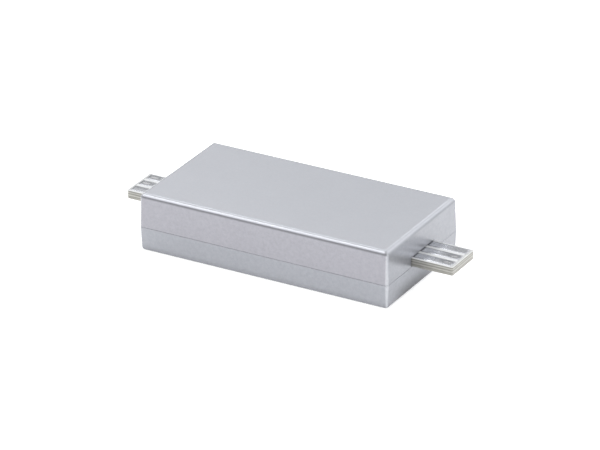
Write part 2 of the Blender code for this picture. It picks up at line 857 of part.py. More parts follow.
TAB_TOP_Z = BOARD_Z + BOARD_THICKNESS + SKIN_GAP + TAB_THICKNESS / 2
for role, y, finish in (
    ("positive", TAB_Y, ALUMINIUM_TAB),
    ("negative", -TAB_Y, NICKEL_TAB),
):
    side_strip(
        f"{role}_tab",
        [
            (10.95 * MM, SEAL_Z),
            (15.00 * MM, SEAL_Z),
            (15.60 * MM, TAB_TOP_Z),
            (18.10 * MM, TAB_TOP_Z),
        ],
        TAB_THICKNESS,
        TAB_WIDTH,
        y,
        0.25 * MM,
        finish,
    )
    sleeve = block(
        f"{role}_tab_sealant",
        (12.00 * MM, y - SLEEVE_WIDTH / 2, SEAL_Z - SLEEVE_THICKNESS / 2),
        (14.80 * MM, y + SLEEVE_WIDTH / 2, SEAL_Z + SLEEVE_THICKNESS / 2),
        SEAL_SLEEVE,
    )
    boolean(
        sleeve,
        block(
            f"{role}_sealant_cutter",
            (11.0 * MM, y - TAB_WIDTH / 2 - 0.05 * MM, SEAL_Z - 0.07 * MM),
            (16.0 * MM, y + TAB_WIDTH / 2 + 0.05 * MM, SEAL_Z + 0.07 * MM),
            group=CUTTERS,
        ),
    )
    side_strip(
        f"{role}_tab_tape",
        [
            (12.60 * MM, SEAL_Z + 0.46 * MM),
            (14.70 * MM, SEAL_Z + 0.46 * MM),
            (15.45 * MM, TAB_TOP_Z + 0.13 * MM),
            (18.45 * MM, TAB_TOP_Z + 0.13 * MM),
        ],
        0.08 * MM,
        3.80 * MM,
        y,
        0.25 * MM,
        AMBER_TAPE,
    )

# The flexible circuit runs under the cell and turns up to the underside of each board.
half_flex = [
    (19.00 * MM, BOARD_Z - 0.05 * MM - FLEX_THICKNESS / 2),
    (16.70 * MM, BOARD_Z - 0.05 * MM - FLEX_THICKNESS / 2),
    (16.70 * MM, FLEX_Z),
]
side_strip(
    "flex_link",
    [(-x, z) for x, z in half_flex] + half_flex[::-1],
    FLEX_THICKNESS,
    FLEX_WIDTH,
    0.0,
    0.45 * MM,
    FLEX_AMBER,
)
for side, y in (("front", -6.6 * MM), ("back", 6.6 * MM)):
    block(
        f"{side}_cell_tape",
        (-13.0 * MM, y - 2.0 * MM, FLOOR_Z + 0.05 * MM),
        (10.5 * MM, y + 2.0 * MM, CELL_BOTTOM_Z - 0.05 * MM),
        TAPE_WHITE,
    )
block(
    "top_foam_pad",
    (-13.5 * MM, -7.5 * MM, CELL_TOP_Z + 0.05 * MM),
    (9.5 * MM, 7.5 * MM, ROOF_Z - 0.05 * MM),
    FOAM,
)

# ---------------------------------------------------------------- screws

# Profile of a pan-head screw, head down, from the axis at the head's face up to the point.
HEAD_Z = SCREW_SEAT_Z - 0.03 * MM
screw_profile = [
    (0.0, HEAD_Z - SCREW_HEAD_HEIGHT),
    (0.95 * MM, HEAD_Z - SCREW_HEAD_HEIGHT),
    (1.27 * MM, HEAD_Z - SCREW_HEAD_HEIGHT + 0.10 * MM),
    (1.44 * MM, HEAD_Z - SCREW_HEAD_HEIGHT + 0.34 * MM),
    (SCREW_HEAD, HEAD_Z - SCREW_HEAD_HEIGHT + 0.62 * MM),
    (SCREW_HEAD, HEAD_Z),
    (SCREW_SHANK, HEAD_Z),
    (SCREW_SHANK, HEAD_Z + SCREW_LENGTH - 0.9 * MM),
    (0.25 * MM, HEAD_Z + SCREW_LENGTH),
    (0.0, HEAD_Z + SCREW_LENGTH),
]
profile_mesh = bpy.data.meshes.new("screw_profile")
profile_mesh.from_pydata(
    [(r, 0.0, z) for r, z in reversed(screw_profile)],
    [(k, k + 1) for k in range(len(screw_profile) - 1)],
    [],
)
turned = as_object("screw_turned", profile_mesh, None, CUTTERS)
spin = turned.modifiers.new("turn", "SCREW")
spin.axis = "Z"
spin.angle = 2 * math.pi
spin.steps = 24
spin.render_steps = 24
spin.use_merge_vertices = True
spin.merge_threshold = 1e-6
spin.use_smooth_shade = True
drive = []
for k, (hx, hy) in enumerate(((0.85, 0.14), (0.14, 0.85))):
    drive.append(
        block(
            f"drive_arm_{k + 1}",
            (-hx * MM, -hy * MM, HEAD_Z - SCREW_HEAD_HEIGHT - 0.5 * MM),
            (hx * MM, hy * MM, HEAD_Z - SCREW_HEAD_HEIGHT + 0.55 * MM),
            group=CUTTERS,
        )
    )
    boolean(turned, drive[-1])
bpy.context.view_layer.update()
screw_mesh = bpy.data.meshes.new_from_object(
    turned.evaluated_get(bpy.context.evaluated_depsgraph_get())
)
screw_mesh.materials.clear()
screw_mesh.materials.append(SCREW_STEEL)
for side, sy in (("front", -1), ("back", 1)):
    for end, sx in (("left", -1), ("right", 1)):
        as_object(
            f"{side}_{end}_screw",
            screw_mesh,
            None,
            PARTS,
            (sx * SCREW_X, sy * SCREW_Y, 0.0),
        )
bpy.data.objects.remove(turned, do_unlink=True)
for tool in drive:
    bpy.data.objects.remove(tool, do_unlink=True)
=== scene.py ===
"""Looks of the flat battery module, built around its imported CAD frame. Metres, +Z up, same frame as the CAD."""

import math

import bmesh
import bpy
from mathutils import Matrix, Vector


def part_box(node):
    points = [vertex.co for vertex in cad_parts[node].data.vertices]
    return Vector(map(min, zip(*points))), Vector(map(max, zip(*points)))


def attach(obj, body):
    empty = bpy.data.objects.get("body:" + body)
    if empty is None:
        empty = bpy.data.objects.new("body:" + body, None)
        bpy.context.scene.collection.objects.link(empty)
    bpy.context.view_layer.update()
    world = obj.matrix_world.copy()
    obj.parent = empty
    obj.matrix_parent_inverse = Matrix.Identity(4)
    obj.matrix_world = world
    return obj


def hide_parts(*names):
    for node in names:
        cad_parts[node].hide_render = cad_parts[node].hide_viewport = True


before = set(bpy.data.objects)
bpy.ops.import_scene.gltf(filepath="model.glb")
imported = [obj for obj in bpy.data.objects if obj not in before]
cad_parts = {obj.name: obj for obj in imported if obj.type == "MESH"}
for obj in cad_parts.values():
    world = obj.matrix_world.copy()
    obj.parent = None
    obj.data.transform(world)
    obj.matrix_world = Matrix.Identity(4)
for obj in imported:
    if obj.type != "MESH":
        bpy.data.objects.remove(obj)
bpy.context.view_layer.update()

MM = 0.001

# ---------------------------------------------------------------- sizes, read from the frame where it gives them

upper_low, upper_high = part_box("upper_shell")
lower_low, lower_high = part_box("lower_shell")
board_low, board_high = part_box("right_board")
HALF_L, HALF_W = upper_high.x, upper_high.y
CASE_H = upper_high.z
RIM_UP = upper_low.z
CAD_GAP, PARTING_GAP = 0.06 * MM, 0.04 * MM
PARTING = RIM_UP - CAD_GAP / 2
RIM_UP = PARTING + PARTING_GAP / 2
RIM_DOWN = PARTING - PARTING_GAP / 2
LIP_TOP = lower_high.z
TAPER_TOP, TAPER_BOTTOM = 0.17 * MM, 0.14 * MM
WALL = 1.20 * MM
TOP_FILLET, BOTTOM_FILLET, CORNER = 0.80 * MM, 0.52 * MM, 0.60 * MM
EDGE_BREAK = 0.04 * MM
TONGUE_Y = 3.81 * MM
BOARD_Z0, BOARD_Z1 = board_low.z, board_high.z
TIP_X = board_high.x
pad_low, pad_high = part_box("right_signal_contact")
PAD_X0, PAD_X1, PAD_HALF = pad_low.x, pad_high.x, pad_high.y
PITCH = 2.54 * MM

# ---------------------------------------------------------------- node helpers


class Nodes:
    """A material's node tree, with short calls for the nodes used here."""

    def __init__(self, name):
        self.material = bpy.data.materials.new(name)
        self.material.use_nodes = True
        self.tree = self.material.node_tree
        self.shader = self.tree.nodes["Principled BSDF"]
        self.coords = self.tree.nodes.new("ShaderNodeTexCoord").outputs["Object"]

    def new(self, kind, **settings):
        made = self.tree.nodes.new(kind)
        for key, value in settings.items():
            setattr(made, key, value)
        return made

    def put(self, socket, value):
        if isinstance(value, bpy.types.NodeSocket):
            self.tree.links.new(value, socket)
        else:
            socket.default_value = value

    def set(self, **values):
        for key, value in values.items():
            self.put(self.shader.inputs[key.replace("_", " ")], value)

    def scaled(self, x, y, z, source=None):
        made = self.new("ShaderNodeMapping")
        self.put(made.inputs["Vector"], source or self.coords)
        made.inputs["Scale"].default_value = (x, y, z)
        return made.outputs["Vector"]

    def noise(self, scale, detail=2.0, rough=0.5, vector=None, distortion=0.0):
        made = self.new("ShaderNodeTexNoise")
        self.put(made.inputs["Vector"], vector or self.coords)
        made.inputs["Scale"].default_value = scale
        made.inputs["Detail"].default_value = detail
        made.inputs["Roughness"].default_value = rough
        made.inputs["Distortion"].default_value = distortion
        return made.outputs["Fac"]

    def cells(self, scale, vector=None, feature="F1"):
        made = self.new("ShaderNodeTexVoronoi", feature=feature)
        self.put(made.inputs["Vector"], vector or self.coords)
        made.inputs["Scale"].default_value = scale
        return made

    def remap(self, value, a, b, c, d, smooth=False):
        """value from a..b to c..d, clamped."""
        made = self.new("ShaderNodeMapRange")
        if smooth:
            made.interpolation_type = "SMOOTHSTEP"
        self.put(made.inputs["Value"], value)
        for key, number in zip(("From Min", "From Max", "To Min", "To Max"), (a, b, c, d)):
            made.inputs[key].default_value = number
        return made.outputs["Result"]

    def math(self, operation, a, b=0.0):
        made = self.new("ShaderNodeMath", operation=operation)
        self.put(made.inputs[0], a)
        self.put(made.inputs[1], b)
        return made.outputs[0]

    def mix(self, factor, a, b, blend="MIX"):
        made = self.new("ShaderNodeMix", data_type="RGBA", blend_type=blend)
        self.put(made.inputs[0], factor)
        self.put(made.inputs[6], a)
        self.put(made.inputs[7], b)
        return made.outputs[2]

    def axis(self, which, source=None):
        made = self.new("ShaderNodeSeparateXYZ")
        self.put(made.inputs[0], source or self.coords)
        return made.outputs["XYZ".index(which)]

    def bump(self, height, strength, distance, after=None):
        made = self.new("ShaderNodeBump")
        self.put(made.inputs["Height"], height)
        made.inputs["Strength"].default_value = strength
        made.inputs["Distance"].default_value = distance
        if after is not None:
            self.put(made.inputs["Normal"], after)
        return made.outputs["Normal"]


def rgb(r, g, b):
    return (r, g, b, 1.0)


# ---------------------------------------------------------------- materials


def silver_paint():
    """Satin silver paint: fine flake, slight orange peel, mottled sides, painted highlights on the corners and long
    upper edges, a painted dark line under the upper edges and painted shade at the foot of the walls.
    """
    n = Nodes("silver_paint")
    x, y, z = n.axis("X"), n.axis("Y"), n.axis("Z")
    flake = n.axis("X", n.cells(5200.0).outputs["Color"])
    grain = n.noise(2600.0, 3.0, 0.65)
    cloud = n.noise(160.0, 2.0, 0.5)
    side = n.remap(z, CASE_H - 0.9 * MM, CASE_H - 0.2 * MM, 1.0, 0.12, smooth=True)
    mottle = n.math("MULTIPLY", n.remap(n.noise(1300.0, 3.0, 0.65), 0.3, 0.7, -0.046, 0.046), side)
    tone = n.math(
        "ADD",
        n.remap(flake, 0.0, 1.0, -0.010, 0.010),
        n.remap(grain, 0.3, 0.7, -0.012, 0.012),
    )
    tone = n.math("ADD", tone, n.remap(cloud, 0.3, 0.7, -0.010, 0.010))
    tone = n.math("ADD", tone, mottle)
    level = n.remap(tone, -0.13, 0.13, 0.0, 1.0)
    paint = n.mix(level, rgb(0.243, 0.251, 0.274), rgb(0.334, 0.345, 0.376))
    # How far past the flat top, the long walls and the end walls this point lies, along the fillets.
    over_side = n.math("SUBTRACT", n.math("ABSOLUTE", y), HALF_W - TAPER_TOP - TOP_FILLET)
    over_end = n.math("SUBTRACT", n.math("ABSOLUTE", x), HALF_L - TAPER_TOP - TOP_FILLET)
    high = n.remap(z, CASE_H - TOP_FILLET, CASE_H - TOP_FILLET + 0.05 * MM, 0.0, 1.0)
    # The long walls of the upper half are tinted a little warmer.
    long_wall = n.math(
        "MULTIPLY",
        n.remap(over_side, 0.5 * MM, 0.8 * MM, 0.0, 1.0, smooth=True),
        n.remap(z, PARTING - 0.1 * MM, PARTING + 0.1 * MM, 0.0, 1.0),
    )
    paint = n.mix(long_wall, paint, rgb(1.015, 0.98, 0.99), "MULTIPLY")
    # Painted shade: a dark line under each upper edge, standing for the dark reflection these fillets show.
    band = n.remap(
        n.math("ABSOLUTE", n.math("SUBTRACT", z, CASE_H - 0.55 * MM)), 0.06 * MM, 0.30 * MM, 1.0, 0.0, smooth=True
    )
    painted_dark_edge_line = n.math(
        "MAXIMUM",
        n.math("MULTIPLY", n.remap(over_side, 0.50 * MM, 0.70 * MM, 0.0, 0.55), band),
        n.math("MULTIPLY", n.remap(over_end, 0.50 * MM, 0.70 * MM, 0.0, 0.22), band),
    )
    paint = n.mix(painted_dark_edge_line, paint, rgb(0.12, 0.123, 0.135))
    # Painted shade: the foot of each end wall is darkened below the tongue, and a thin band along the bottom of every
    # wall, standing for the shade near the floor.
    painted_foot_shade = n.math(
        "MULTIPLY",
        n.remap(z, 0.0, 3.4 * MM, 1.0, 0.0, smooth=True),
        n.remap(n.math("ABSOLUTE", n.math("ADD", n.math("MULTIPLY", y, n.math("SIGN", x)), 3.0 * MM)), 2.0 * MM, 9.5 * MM, 0.95, 0.0, smooth=True),
    )
    painted_foot_shade = n.math("MULTIPLY", painted_foot_shade, n.remap(over_end, 0.5 * MM, 0.7 * MM, 0.0, 1.0))
    painted_foot_shade = n.math("MAXIMUM", painted_foot_shade, n.remap(z, 0.1 * MM, 1.3 * MM, 0.34, 0.0, smooth=True))
    paint = n.mix(painted_foot_shade, paint, rgb(0.10, 0.103, 0.11))
    # Painted highlight: the vertical corners below the top fillet are lightened, a little unevenly with the grain.
    past_x = n.math("SUBTRACT", n.math("ABSOLUTE", x), HALF_L - CORNER)
    past_y = n.math("SUBTRACT", n.math("ABSOLUTE", y), HALF_W - CORNER)
    corner = n.remap(n.math("MINIMUM", past_x, past_y), 0.02 * MM, 0.30 * MM, 0.0, 1.0, smooth=True)
    below = n.remap(z, CASE_H - 1.0 * MM, CASE_H - 0.5 * MM, 1.0, 0.0, smooth=True)
    painted_edge_highlight = n.math("MULTIPLY", n.math("MULTIPLY", corner, below), n.remap(grain, 0.2, 0.6, 0.30, 0.46))
    # Painted highlight: a light line along the upper shoulder of each long upper edge.
    shoulder = n.math("ABSOLUTE", n.math("SUBTRACT", over_side, 0.45 * MM))
    painted_shoulder_highlight = n.math("MULTIPLY", n.remap(shoulder, 0.05 * MM, 0.22 * MM, 0.30, 0.0, smooth=True), high)
    painted_edge_highlight = n.math("MAXIMUM", painted_edge_highlight, painted_shoulder_highlight)
    n.set(Base_Color=n.mix(painted_edge_highlight, paint, rgb(0.60, 0.615, 0.65)))
    n.set(Metallic=0.50)
    n.set(Roughness=0.272)
    peel = n.bump(n.noise(900.0, 2.0, 0.5), 0.03, 0.00002)
    n.set(Normal=n.bump(grain, 0.02, 0.00002, peel))
    return n.material


def solder_mask():
    """White solder mask: satin, faintly uneven, slightly warmer where it thins."""
    n = Nodes("white_solder_mask")
    soft = n.noise(700.0, 3.0, 0.55)
    weave = n.noise(1.0, 2.0, 0.5, n.scaled(2600.0, 2600.0, 500.0))
    tone = n.mix(
        n.remap(soft, 0.3, 0.7, 0.0, 1.0), rgb(0.500, 0.510, 0.525), rgb(0.565, 0.576, 0.592)
    )
    # Plugging in has dulled the strip in front of the contacts.
    dull = n.remap(n.math("ABSOLUTE", n.axis("X")), PAD_X1 - 0.15 * MM, PAD_X1 + 0.1 * MM, 0.0, 0.42, smooth=True)
    n.set(Base_Color=n.mix(dull, tone, rgb(0.27, 0.275, 0.265)))
    n.set(Roughness=n.remap(soft, 0.3, 0.7, 0.28, 0.40))
    n.set(Normal=n.bump(n.math("ADD", soft, weave), 0.12, 0.00002))
    return n.material


def laminate_edge():
    """Cut edge of glass-epoxy board: layers of cloth with resin lines between them, milling marks and a white skin."""
    n = Nodes("laminate_edge")
    x, z = n.axis("X"), n.axis("Z")
    fibres = n.noise(1.0, 3.0, 0.7, n.scaled(1500.0, 1500.0, 9000.0))
    patches = n.noise(1.0, 2.0, 0.6, n.scaled(500.0, 500.0, 1500.0))
    wander = n.math("MULTIPLY", n.math("SUBTRACT", n.noise(420.0, 2.0, 0.5), 0.5), 0.10 * MM)
    height = n.math("ADD", z, wander)
    tone = n.mix(
        n.remap(n.math("ADD", fibres, patches), 0.65, 1.35, 0.0, 1.0),
        rgb(0.215, 0.210, 0.190),
        rgb(0.375, 0.370, 0.335),
    )
    for level, half, amount, colour in (
        (4.82, 0.11, 0.70, rgb(0.14, 0.137, 0.13)),
        (5.06, 0.11, 0.85, rgb(0.50, 0.495, 0.465)),
        (5.31, 0.11, 0.85, rgb(0.12, 0.118, 0.112)),
        (5.54, 0.10, 0.85, rgb(0.48, 0.478, 0.455)),
        (5.76, 0.11, 0.90, rgb(0.11, 0.108, 0.104)),
    ):
        away = n.math("ABSOLUTE", n.math("SUBTRACT", height, level * MM))
        line = n.remap(away, 0.02 * MM, half * MM, amount, 0.0, smooth=True)
        tone = n.mix(n.math("MULTIPLY", line, n.remap(fibres, 0.25, 0.65, 0.45, 1.0)), tone, colour)
    # Painted shade: the part next to the case is greyer than the tip, standing for the shade and dark reflection of
    # the case wall there.
    root = n.remap(n.math("ABSOLUTE", x), 24.0 * MM, 29.5 * MM, 0.34, 0.0, smooth=True)
    tone = n.mix(root, tone, rgb(0.115, 0.115, 0.12))
    skin = n.remap(z, BOARD_Z1 - 0.15 * MM, BOARD_Z1 - 0.08 * MM, 0.0, 1.0, smooth=True)
    n.set(Base_Color=n.mix(skin, tone, rgb(0.62, 0.63, 0.63)))
    n.set(Roughness=n.remap(fibres, 0.3, 0.7, 0.34, 0.55))
    n.set(Specular_IOR_Level=0.5)
    n.set(Normal=n.bump(n.math("ADD", patches, fibres), 0.35, 0.00004))
    return n.material


def tinned_copper():
    """Tin over copper: long shallow waves and grey streaks along the contact, a probe dent near two tips with a
    painted highlight in it, and painted shade towards the tip and at the slot.
    """
    n = Nodes("tinned_copper")
    x, y = n.axis("X"), n.axis("Y")
    reach_x = n.math("ABSOLUTE", x)
    wave = n.noise(1.0, 2.0, 0.45, n.scaled(300.0, 1500.0, 400.0), 0.3)
    streak = n.noise(1.0, 4.0, 0.7, n.scaled(200.0, 6500.0, 260.0), 0.2)
    fine = n.noise(5200.0, 2.0, 0.6)
    tone = n.mix(
        n.remap(streak, 0.30, 0.70, 0.0, 1.0), rgb(0.255, 0.263, 0.283), rgb(0.465, 0.474, 0.496)
    )
    # Painted shade: darker towards the tip, standing for the dimmer reflection the contact shows there.
    painted_tip_shade = n.remap(reach_x, 26.4 * MM, 29.0 * MM, 0.0, 0.42, smooth=True)
    tone = n.mix(painted_tip_shade, tone, rgb(0.075, 0.078, 0.086))
    height = n.math("ADD", wave, n.math("MULTIPLY", streak, 0.35))
    along = n.math("DIVIDE", n.math("SUBTRACT", reach_x, 29.95 * MM), 0.95 * MM)
    side = n.math("MULTIPLY", y, n.math("SIGN", x))
    # Probe dents near two tips: each is pressed into the bump, its light centre is a painted highlight, and a darker
    # ring lies around it.
    for row in (0.0, -1.0):
        across = n.math("DIVIDE", n.math("SUBTRACT", side, row * PITCH), 0.36 * MM)
        reach = n.math(
            "SQRT",
            n.math("ADD", n.math("MULTIPLY", along, along), n.math("MULTIPLY", across, across)),
        )
        tone = n.mix(n.remap(reach, 1.05, 1.8, 0.50, 0.0, smooth=True), tone, rgb(0.10, 0.104, 0.115))
        mark_and_highlight = n.math("MULTIPLY", n.remap(reach, 0.45, 1.05, 1.0, 0.0, smooth=True), n.remap(streak, 0.35, 0.60, 0.15, 0.85))
        tone = n.mix(mark_and_highlight, tone, rgb(0.42, 0.42, 0.43))
        height = n.math("ADD", height, n.remap(reach, 0.0, 1.3, -0.25, 0.0, smooth=True))
    # Painted shade: a dark line at the opening of the slot, standing for the dark gap that the contact reflects there.
    painted_slot_shade = n.remap(n.math("ABSOLUTE", n.math("SUBTRACT", reach_x, 24.08 * MM)), 0.08 * MM, 0.24 * MM, 0.66, 0.0, smooth=True)
    tone = n.mix(painted_slot_shade, tone, rgb(0.03, 0.032, 0.04))
    n.set(Base_Color=tone)
    n.set(Metallic=1.0)
    n.set(Roughness=n.remap(n.math("ADD", streak, fine), 0.7, 1.3, 0.16, 0.28))
    n.set(Normal=n.bump(height, 0.30, 0.00005))
    return n.material


def bare_metal(name, dark, light, rough=(0.25, 0.4), streaks=(300.0, 4000.0, 300.0), metallic=1.0, bump=0.15):
    """Drawn, plated or turned metal with fine marks that run along one direction."""
    n = Nodes(name)
    marks = n.noise(1.0, 4.0, 0.65, n.scaled(*streaks))
    spots = n.noise(1800.0, 2.0, 0.5)
    n.set(Base_Color=n.mix(n.remap(marks, 0.3, 0.7, 0.0, 1.0), dark, light))
    n.set(Metallic=metallic)
    n.set(Roughness=n.remap(n.math("ADD", marks, spots), 0.7, 1.3, *rough))
    n.set(Normal=n.bump(marks, bump, 0.00002))
    return n.material


def pouch_film():
    """Aluminium laminate under clear nylon: satin, with soft wrinkles from forming."""
    n = Nodes("pouch_film")
    fold = n.noise(260.0, 3.0, 0.55, None, 0.8)
    fine = n.noise(2400.0, 2.0, 0.5)
    n.set(
        Base_Color=n.mix(
            n.remap(fold, 0.35, 0.65, 0.0, 1.0), rgb(0.60, 0.61, 0.63), rgb(0.72, 0.73, 0.74)
        )
    )
    n.set(Metallic=0.9)
    n.set(Roughness=n.remap(fine, 0.3, 0.7, 0.30, 0.42))
    n.set(Coat_Weight=0.35, Coat_Roughness=0.2)
    n.set(Normal=n.bump(n.math("ADD", fold, n.math("MULTIPLY", fine, 0.15)), 0.3, 0.00008))
    return n.material


def moulded(name, dark, light, rough=(0.45, 0.6), scale=2500.0, bump=0.2, distance=0.00003, **more):
    """Moulded, cast or printed material with a fine even grain."""
    n = Nodes(name)
    grain = n.noise(scale, 3.0, 0.6)
    broad = n.noise(scale / 9, 2.0, 0.5)
    level = n.remap(n.math("ADD", grain, broad), 0.7, 1.3, 0.0, 1.0)
    n.set(Base_Color=n.mix(level, dark, light))
    n.set(Roughness=n.remap(grain, 0.3, 0.7, *rough))
    n.set(Normal=n.bump(grain, bump, distance))
    n.set(**more)
    return n.material


def wound_foils():
    """Edge of the wound foils: thin copper and graphite layers."""
    n = Nodes("electrode_roll")
    layers = n.noise(1.0, 3.0, 0.6, n.scaled(90.0, 160.0, 7000.0))
    n.set(
        Base_Color=n.mix(
            n.remap(layers, 0.4, 0.6, 0.0, 1.0), rgb(0.035, 0.035, 0.037), rgb(0.30, 0.17, 0.10)
        )
    )
    n.set(Metallic=0.35, Roughness=n.remap(layers, 0.3, 0.7, 0.45, 0.75))
    n.set(Normal=n.bump(layers, 0.4, 0.00004))
    return n.material


def amber_film(name, dark, light):
    """Polyimide: clear amber with faint striations, glossy."""
    n = Nodes(name)
    band = n.noise(1.0, 3.0, 0.5, n.scaled(200.0, 1500.0, 200.0))
    n.set(Base_Color=n.mix(n.remap(band, 0.3, 0.7, 0.0, 1.0), dark, light))
    n.set(Roughness=n.remap(band, 0.3, 0.7, 0.18, 0.30))
    n.set(Coat_Weight=0.4, Coat_Roughness=0.1)
    n.set(Normal=n.bump(band, 0.12, 0.00003))
    return n.material


def open_cell_foam():
    n = Nodes("foam")
    pores = n.cells(2600.0)
    # Painted shade: each pore is darker towards its centre, for the shade in its hollow; the same depth drives the
    # bump.
    depth = n.remap(pores.outputs["Distance"], 0.0, 0.6, 0.0, 1.0)
    n.set(Base_Color=n.mix(depth, rgb(0.035, 0.035, 0.038), rgb(0.11, 0.11, 0.12)))
    n.set(Roughness=n.remap(depth, 0.0, 1.0, 0.85, 0.98))
    n.set(Normal=n.bump(depth, 0.8, 0.00012))
    return n.material


SILVER = silver_paint()
MASK = solder_mask()
EDGE = laminate_edge()
TIN = tinned_copper()
FILM = pouch_film()
ROLL = wound_foils()
ALU = bare_metal("aluminium_tab", rgb(0.66, 0.67, 0.68), rgb(0.84, 0.85, 0.86))
NICKEL = bare_metal("nickel_tab", rgb(0.50, 0.48, 0.44), rgb(0.68, 0.66, 0.61), (0.2, 0.35))
STEEL = bare_metal(
    "screw_steel", rgb(0.42, 0.43, 0.45), rgb(0.66, 0.67, 0.69), (0.16, 0.32), (500.0, 500.0, 6000.0)
)
SEALANT = moulded("tab_sealant", rgb(0.035, 0.035, 0.04), rgb(0.09, 0.09, 0.10))
TAPE = amber_film("amber_tape", rgb(0.42, 0.17, 0.02), rgb(0.70, 0.36, 0.06))
FLEX = amber_film("flexible_circuit", rgb(0.30, 0.11, 0.02), rgb(0.52, 0.23, 0.05))
MOULD = moulded("black_mould_compound", rgb(0.012, 0.012, 0.013), rgb(0.045, 0.045, 0.047), (0.45, 0.7), 6000.0)
CHIP_TAN = moulded("chip_capacitor", rgb(0.30, 0.19, 0.10), rgb(0.48, 0.33, 0.20), (0.35, 0.5), 7000.0)
CHIP_DARK = moulded("chip_resistor", rgb(0.02, 0.02, 0.025), rgb(0.06, 0.06, 0.07), (0.25, 0.45), 7000.0)
PAPER = moulded("double_sided_tape", rgb(0.74, 0.73, 0.67), rgb(0.88, 0.87, 0.82), (0.6, 0.8), 1500.0)
FOAM = open_cell_foam()

# ---------------------------------------------------------------- mesh helpers


def finish_mesh(bm, name, materials, smooth_angle=40.0):
    bmesh.ops.recalc_face_normals(bm, faces=bm.faces)
    mesh = bpy.data.meshes.new(name)
    bm.to_mesh(mesh)
    bm.free()
    for m in materials:
        mesh.materials.append(m)
    mesh.shade_smooth()
    mesh.set_sharp_from_angle(angle=math.radians(smooth_angle))
    made = bpy.data.objects.new(name, mesh)
    bpy.context.scene.collection.objects.link(made)
    return made


def weighted(obj):
    step = obj.modifiers.new("flat_faces_lead", "WEIGHTED_NORMAL")
    step.keep_sharp = True
    step.weight = 90


def rounded_ring(hx, hy, r, z, steps):
    """Rounded rectangle at height z, counter-clockwise seen from above."""
    made = []
    for k, (sx, sy) in enumerate(((1, -1), (1, 1), (-1, 1), (-1, -1))):
        for i in range(steps + 1):
            angle = math.radians(-90 + 90 * k + 90 * i / steps)
            made.append(
                (
                    sx * (hx - r) + r * math.cos(angle),
                    sy * (hy - r) + r * math.sin(angle),
                    z,
                )
            )
    return made


def loft(rings, caps=True):
    """A closed skin through rings of the same number of points, capped at both ends."""
    bm = bmesh.new()
    rows = [[bm.verts.new(p) for p in ring] for ring in rings]
    count = len(rows[0])
    for a, b in zip(rows, rows[1:]):
        for i in range(count):
            j = (i + 1) % count
            bm.faces.new((a[i], a[j], b[j], b[i]))
    if caps:
        bm.faces.new(rows[0][::-1])
        bm.faces.new(rows[-1])
    return bm


helpers = []


def helper(bm, name):
    bmesh.ops.recalc_face_normals(bm, faces=bm.faces)
    mesh = bpy.data.meshes.new(name)
    bm.to_mesh(mesh)
    bm.free()
    mesh.shade_smooth()
    mesh.set_sharp_from_angle(angle=math.radians(40))
    made = bpy.data.objects.new(name, mesh)
    bpy.context.scene.collection.objects.link(made)
    helpers.append(made)
    return made


def helper_box(name, x0, x1, y0, y1, z0, z1, r=0.0):
    hx, hy = abs(x1 - x0) / 2, abs(y1 - y0) / 2
    bm = loft([rounded_ring(hx, hy, max(r, 1e-6), z, 4 if r else 1) for z in (z0, z1)])
    bmesh.ops.remove_doubles(bm, verts=bm.verts, dist=3e-6 if not r else 1e-9)
    bmesh.ops.translate(bm, verts=bm.verts, vec=((x0 + x1) / 2, (y0 + y1) / 2, 0))
    return helper(bm, name)


def helper_round(name, x, y, levels, sides=32):
    """A turned shape: levels are (z, radius)."""
    rings = [
        [
            (
                x + r * math.cos(2 * math.pi * i / sides),
                y + r * math.sin(2 * math.pi * i / sides),
                z,
            )
            for i in range(sides)
        ]
        for z, r in levels
    ]
    return helper(loft(rings), name)


def boolean(target, tool, operation):
    step = target.modifiers.new(operation.lower(), "BOOLEAN")
    step.operation = operation
    step.solver = "EXACT"
    step.object = tool


def apply_all(obj):
    """The modifiers' result becomes the object's own mesh."""
    bpy.context.view_layer.update()
    graph = bpy.context.evaluated_depsgraph_get()
    mesh = bpy.data.meshes.new_from_object(
        obj.evaluated_get(graph), preserve_all_data_layers=True, depsgraph=graph
    )
    obj.modifiers.clear()
    obj.data = mesh


def drop_helpers():
    for o in helpers:
        bpy.data.objects.remove(o, do_unlink=True)
    helpers.clear()


# ---------------------------------------------------------------- case halves


def inset_at(z, upper):
    if upper:
        return TAPER_TOP * (z - PARTING) / (CASE_H - PARTING)
    return TAPER_BOTTOM * (PARTING - z) / PARTING


def outside(upper, fillet, steps):
    """Rings of the outside, from the rim to the closed face: an edge break, a drafted wall, then the fillet."""
    rim = RIM_UP if upper else RIM_DOWN
    way = 1 if upper else -1
    closed = CASE_H if upper else 0.0
    full_l, full_w = HALF_L, HALF_W
    rings = []
    for k in range(4):
        t = math.radians(90 * k / 3)
        z = rim + way * EDGE_BREAK * (1 - math.cos(t))
        inset = inset_at(z, upper) + EDGE_BREAK * (1 - math.sin(t))
        rings.append((full_l - inset, full_w - inset, CORNER, z))
    start = closed - way * fillet
    base = inset_at(start, upper)
    for k in range(steps + 1):
        t = math.radians(90 * k / steps)
        z = start + way * fillet * math.sin(t)
        inset = base + fillet * (1 - math.cos(t))
        radius = max(CORNER - fillet * (1 - math.cos(t)), 0.05 * MM)
        rings.append((full_l - inset, full_w - inset, radius, z))
    return rings


def inside_round(hx, hy, r, z, z_flat, fillet, steps):
    """Rings of a cavity's end: its wall, then a fillet to the flat at z_flat."""
    way = 1 if z_flat > z else -1
    rings = [(hx, hy, r, z)]
    for k in range(steps + 1):
        t = math.radians(90 * k / steps)
        rings.append(
            (
                hx - fillet * (1 - math.cos(t)),
                hy - fillet * (1 - math.cos(t)),
                max(r - fillet * (1 - math.cos(t)), 0.05 * MM),
                z_flat - way * fillet + way * fillet * math.sin(t),
            )
        )
    return rings


STEPS = 10
CORNER_STEPS = 12


